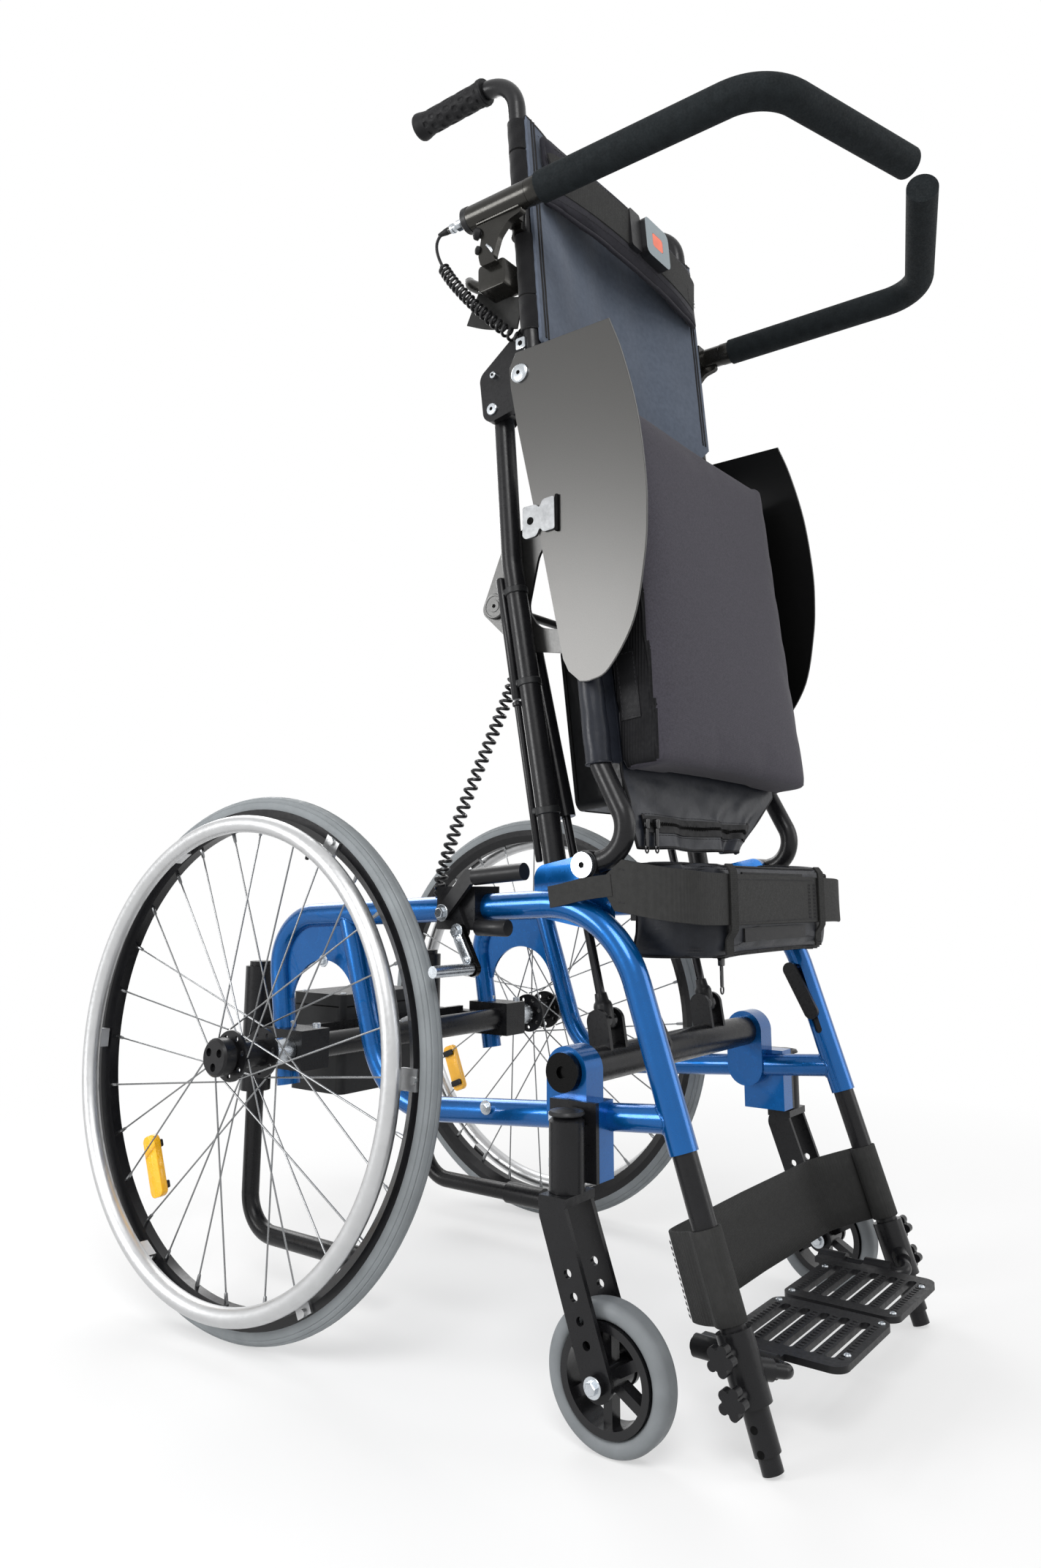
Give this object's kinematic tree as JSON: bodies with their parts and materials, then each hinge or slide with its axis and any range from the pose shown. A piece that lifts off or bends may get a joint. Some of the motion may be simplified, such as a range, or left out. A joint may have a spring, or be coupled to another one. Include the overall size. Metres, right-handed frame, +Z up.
{
  "type": "standing wheelchair",
  "caption": "Manual wheelchair with a powered standing frame, shown upright: cambered push-rim wheels, front casters, tilting seat, upright back, chest arms, knee pad and flip-up footplates.",
  "frame": {"origin": "on the floor, in the middle of the chair's width and length", "axes": "+Z up, the user faces -Y, +X to the user's left"},
  "size_m": [0.6662, 1.053, 1.493],
  "materials": {
    "wheel_tyre": "matt grey",
    "rim_black": "satin black",
    "spoke_steel": "bright",
    "hub_black": "satin black",
    "handrim_aluminium": "satin",
    "frame_blue": "metallic blue gloss",
    "tube_black": "satin black",
    "zinc": "zinc plated",
    "box_black": "fine grain",
    "lever_black": "satin black",
    "caster_tyre": "matt grey",
    "caster_rim_black": "black",
    "footplate_black": "black",
    "webbing": "ribbed webbing",
    "lever_grey": "grey",
    "rod_steel": "polished",
    "cylinder_black": "gloss black",
    "cushion_cloth": "charcoal cloth",
    "apron_cloth": "black nylon",
    "guard_sheet": "hammered dark",
    "grip_rubber": "soft",
    "arm_foam": "foam",
    "back_cloth": "slate nylon",
    "belt_cloth": "padded cloth",
    "buckle_grey": "grey",
    "button_red": "orange red",
    "cord_black": "satin"
  },
  "bodies": {
    "chassis": {"side_frame_r": "frame_blue", "side_frame_l": "frame_blue", "lower_cross_tube": "tube_black", "frame_bolts": "zinc", "axle_tube": "tube_black", "axle_pins": "zinc", "control_box": "box_black", "brake_clamps": "tube_black", "caster_housings": "tube_black", "knee_hooks": "tube_black"},
    "wheel_r": {"tyre_r": "wheel_tyre", "rim_r": "rim_black", "wheel_spokes_r": "spoke_steel", "hub_r": "hub_black", "handrim_r": "handrim_aluminium"},
    "caster_swivel_r": {"caster_fork_r": "tube_black"},
    "caster_wheel_r": {"caster_tyre_r": "caster_tyre", "caster_rim_r": "caster_rim_black"},
    "antitip_r": {"antitip_r": "tube_black"},
    "brake_lever_r": {"brake_lever_r": "lever_black"},
    "brake_arm_r": {"brake_arm_r": "zinc"},
    "footplate_r": {"footplate_r": "footplate_black"},
    "arm_r": {"arm_r": "arm_foam"},
    "wheel_l": {"tyre_l": "wheel_tyre", "rim_l": "rim_black", "wheel_spokes_l": "spoke_steel", "hub_l": "hub_black", "handrim_l": "handrim_aluminium"},
    "caster_swivel_l": {"caster_fork_l": "tube_black"},
    "caster_wheel_l": {"caster_tyre_l": "caster_tyre", "caster_rim_l": "caster_rim_black"},
    "antitip_l": {"antitip_l": "tube_black"},
    "brake_lever_l": {"brake_lever_l": "lever_black"},
    "brake_arm_l": {"brake_arm_l": "zinc"},
    "footplate_l": {"footplate_l": "footplate_black"},
    "arm_l": {"arm_l": "arm_foam"},
    "legs": {"leg_tubes": "tube_black", "foot_hangers": "tube_black", "calf_strap": "webbing"},
    "seat": {"seat_frame": "tube_black", "lift_levers": "lever_grey", "power_box": "box_black", "seat_cushion": "cushion_cloth", "seat_apron": "apron_cloth", "side_guards": "guard_sheet", "lift_cord": "cord_black", "box_cord": "cord_black"},
    "links": {"link_bars": "tube_black"},
    "gas_rods": {"gas_rods": "rod_steel"},
    "gas_cylinders": {"gas_cylinders": "cylinder_black"},
    "back": {"back_frame": "tube_black", "push_grips": "grip_rubber", "arm_housings": "lever_black", "back_sling": "back_cloth", "chest_belt": "belt_cloth", "belt_buckle": "buckle_grey", "arm_cord": "cord_black"},
    "belt_button": {"belt_button": "button_red"},
    "knee_support": {"knee_pad": "apron_cloth", "knee_strap": "webbing"}
  },
  "joints": [
    {"name": "stand_lift", "type": "hinge", "parent": "chassis", "child": "seat", "pos_m": [0, -0.1955, 0.508], "axis": [1, 0, 0], "range_deg": [-80, 0], "deforming": ["lift_cord", "box_cord"]},
    {"name": "link_swing", "type": "hinge", "parent": "chassis", "child": "links", "pos_m": [0, -0.1285, 0.495], "axis": [1, 0, 0], "range_deg": [-80, 0]},
    {"name": "back_level", "type": "hinge", "parent": "seat", "child": "back", "pos_m": [0, -0.1175, 1.063], "axis": [1, 0, 0], "range_deg": [0, 80]},
    {"name": "gas_swing", "type": "hinge", "parent": "chassis", "child": "gas_rods", "pos_m": [0, -0.1665, 0.347], "axis": [1, 0, 0], "range_deg": [-61.51, 0]},
    {"name": "gas_stroke", "type": "slide", "parent": "gas_rods", "child": "gas_cylinders", "axis": [0, 0.2255, 0.9742], "range_m": [-0.1728, 0]},
    {"name": "leg_lift", "type": "slide", "parent": "chassis", "child": "legs", "axis": [0, 0.3057, 0.9521], "range_m": [0, 0.0452]},
    {"name": "wheel_spin_r", "type": "hinge", "parent": "chassis", "child": "wheel_r", "pos_m": [-0.281, 0.2295, 0.29683], "axis": [-0.9994, 0, 0.0349], "continuous": true},
    {"name": "caster_turn_r", "type": "hinge", "parent": "chassis", "child": "caster_swivel_r", "pos_m": [-0.247, -0.1975, 0.208], "axis": [0, 0, 1], "continuous": true},
    {"name": "caster_roll_r", "type": "hinge", "parent": "caster_swivel_r", "child": "caster_wheel_r", "pos_m": [-0.247, -0.2445, 0.0629], "axis": [1, 0, 0], "continuous": true},
    {"name": "antitip_swing_r", "type": "hinge", "parent": "chassis", "child": "antitip_r", "pos_m": [-0.164, 0.3535, 0.385], "axis": [0, 0, 1], "range_deg": [0, 180]},
    {"name": "brake_lever_turn_r", "type": "hinge", "parent": "chassis", "child": "brake_lever_r", "pos_m": [-0.2283, -0.0225, 0.45902], "axis": [1, 0, 0], "range_deg": [0, 30]},
    {"name": "brake_arm_turn_r", "type": "hinge", "parent": "chassis", "child": "brake_arm_r", "pos_m": [-0.2283, -0.0445, 0.44002], "axis": [1, 0, 0], "range_deg": [0, 12]},
    {"name": "footplate_flip_r", "type": "hinge", "parent": "legs", "child": "footplate_r", "pos_m": [-0.152, -0.3255, 0.066], "axis": [0, -1, 0], "range_deg": [0, 88]},
    {"name": "arm_lift_r", "type": "hinge", "parent": "back", "child": "arm_r", "pos_m": [-0.239, -0.1465, 1.27], "axis": [0, -1, 0], "range_deg": [0, 95]},
    {"name": "wheel_spin_l", "type": "hinge", "parent": "chassis", "child": "wheel_l", "pos_m": [0.281, 0.2295, 0.29683], "axis": [0.9994, 0, 0.0349], "continuous": true},
    {"name": "caster_turn_l", "type": "hinge", "parent": "chassis", "child": "caster_swivel_l", "pos_m": [0.247, -0.1975, 0.208], "axis": [0, 0, 1], "continuous": true},
    {"name": "caster_roll_l", "type": "hinge", "parent": "caster_swivel_l", "child": "caster_wheel_l", "pos_m": [0.247, -0.2445, 0.0629], "axis": [1, 0, 0], "continuous": true},
    {"name": "antitip_swing_l", "type": "hinge", "parent": "chassis", "child": "antitip_l", "pos_m": [0.164, 0.3535, 0.385], "axis": [0, 0, -1], "range_deg": [0, 180]},
    {"name": "brake_lever_turn_l", "type": "hinge", "parent": "chassis", "child": "brake_lever_l", "pos_m": [0.2283, -0.0225, 0.45902], "axis": [1, 0, 0], "range_deg": [0, 30]},
    {"name": "brake_arm_turn_l", "type": "hinge", "parent": "chassis", "child": "brake_arm_l", "pos_m": [0.2283, -0.0445, 0.44002], "axis": [1, 0, 0], "range_deg": [0, 12]},
    {"name": "footplate_flip_l", "type": "hinge", "parent": "legs", "child": "footplate_l", "pos_m": [0.152, -0.3255, 0.066], "axis": [0, 1, 0], "range_deg": [0, 88]},
    {"name": "arm_lift_l", "type": "hinge", "parent": "back", "child": "arm_l", "pos_m": [0.239, -0.1465, 1.27], "axis": [0, 1, 0], "range_deg": [0, 95]},
    {"name": "button_press", "type": "slide", "parent": "back", "child": "belt_button", "axis": [0, 0.9969, -0.0783], "range_m": [0, 0.002], "stiffness_N_per_m": 400},
    {"name": "knee_support_swing", "type": "hinge", "parent": "chassis", "child": "knee_support", "pos_m": [0.188, -0.2865, 0.455], "axis": [0, 0, 1], "range_deg": [0, 100]}
  ],
  "couplings": [
    {"joint": "link_swing", "follows": "stand_lift", "ratio": 1},
    {"joint": "back_level", "follows": "stand_lift", "ratio": -1},
    {"joint": "gas_swing", "follows": "stand_lift", "ratio": 0.76824},
    {"joint": "gas_stroke", "follows": "stand_lift", "m_per_rad": 0.12342},
    {"joint": "leg_lift", "follows": "stand_lift", "m_per_rad": -0.032229},
    {"joint": "brake_arm_turn_r", "follows": "brake_lever_turn_r", "ratio": 0.4},
    {"joint": "brake_arm_turn_l", "follows": "brake_lever_turn_l", "ratio": 0.4}
  ]
}
